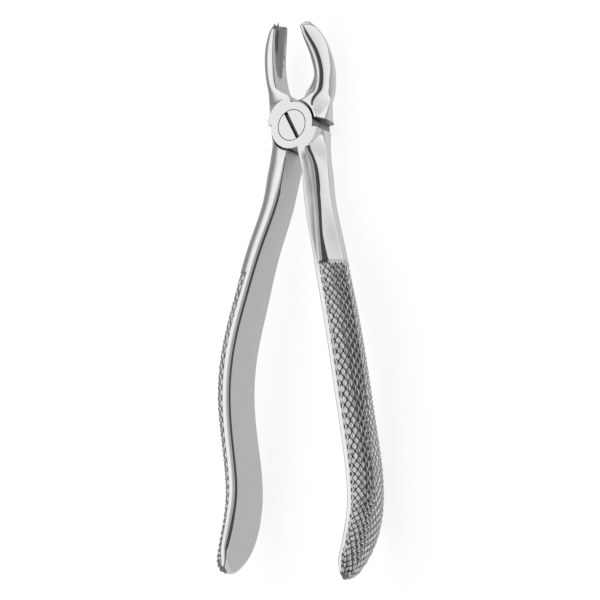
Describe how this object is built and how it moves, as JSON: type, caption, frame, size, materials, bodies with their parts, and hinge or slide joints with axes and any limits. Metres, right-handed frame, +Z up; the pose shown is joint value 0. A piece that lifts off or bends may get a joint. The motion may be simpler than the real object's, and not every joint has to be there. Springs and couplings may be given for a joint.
{
  "type": "extraction forceps",
  "caption": "Dental extraction forceps for upper molars: crossing forged halves on a slotted screw, a pointed and a rounded beak, and long handles that curl at the end.",
  "frame": {"origin": "on the axis of the pivot screw, in the plane of the joint's back face, which the forceps lie on", "axes": "+Z up the screw to its slotted head, +Y from the joint to the beaks, +X to the handle of the front half"},
  "size_m": [0.0516, 0.176, 0.0234],
  "materials": {
    "forged_steel": "polished, satin on the joint and the inner faces",
    "screw_steel": "satin, ground flush with the joint"
  },
  "bodies": {
    "back": {"back_half": "forged_steel", "pivot_screw": "screw_steel"},
    "front": {"front_half": "forged_steel"}
  },
  "joints": [
    {"name": "forceps_pivot", "type": "hinge", "parent": "back", "child": "front", "pos_m": [0, 0, 0], "axis": [0, 0, 1], "range_deg": [-14, 20]}
  ]
}
